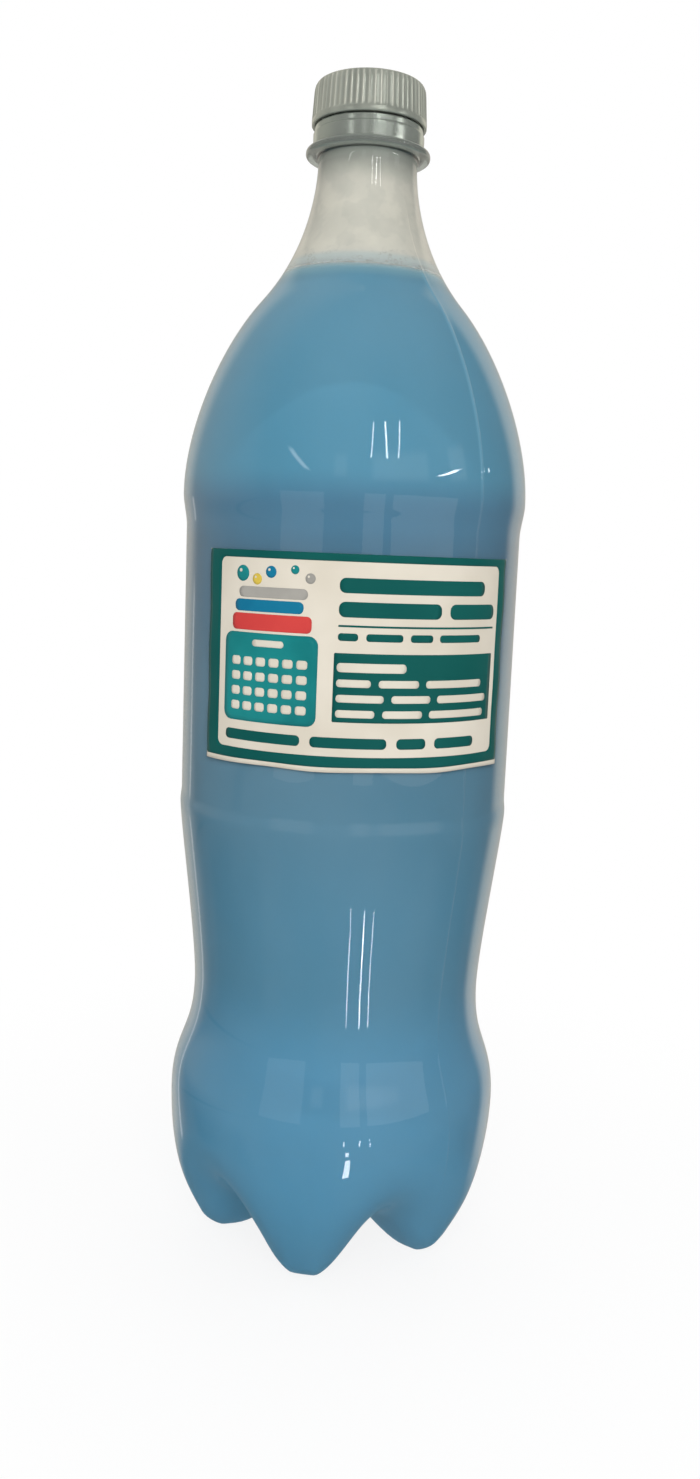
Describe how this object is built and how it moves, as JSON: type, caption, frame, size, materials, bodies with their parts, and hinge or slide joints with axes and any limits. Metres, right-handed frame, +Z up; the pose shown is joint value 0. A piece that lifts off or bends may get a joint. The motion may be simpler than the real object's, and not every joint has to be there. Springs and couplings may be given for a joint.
{
  "type": "laundry detergent bottle",
  "caption": "Clear blow-moulded bottle with petal feet, silver-grey screw cap, tamper band and wrap label, filled with blue laundry detergent.",
  "frame": {"origin": "on the ground under the middle of the base", "axes": "+Z up along the bottle's axis, label facing -Y, +X to the right of the label"},
  "size_m": [0.0944, 0.0944, 0.3196],
  "materials": {
    "clear_plastic": "clear, glossy, blown",
    "detergent": "opaque blue liquid",
    "cap_plastic": "silver-grey moulded, satin",
    "liner_plastic": "soft pale foam",
    "band_plastic": "silver-grey moulded, glossy",
    "label_paper": "cream self-adhesive sheet, satin",
    "green_ink": "printed ink",
    "teal_ink": "printed ink",
    "red_ink": "printed ink",
    "blue_ink": "printed ink",
    "grey_ink": "printed ink",
    "yellow_ink": "printed ink"
  },
  "bodies": {
    "bottle": {"bottle": "clear_plastic", "detergent": "detergent", "tamper_band": "band_plastic", "label": "label_paper", "label_green_print": "green_ink", "label_teal_print": "teal_ink", "label_red_print": "red_ink", "label_blue_print": "blue_ink", "label_grey_print": "grey_ink", "label_yellow_print": "yellow_ink"},
    "liner": {"cap_liner": "liner_plastic"},
    "cap": {"cap": "cap_plastic"}
  },
  "joints": [
    {"name": "cap_lift", "type": "slide", "parent": "bottle", "child": "liner", "axis": [0, 0, 1], "range_m": [0, 0.01081]},
    {"name": "cap_turn", "type": "hinge", "parent": "liner", "child": "cap", "pos_m": [0, 0, 0.31], "axis": [0, 0, 1], "range_deg": [0, 1440]}
  ],
  "couplings": [
    {"joint": "cap_lift", "follows": "cap_turn", "m_per_rad": 0.00042972}
  ]
}
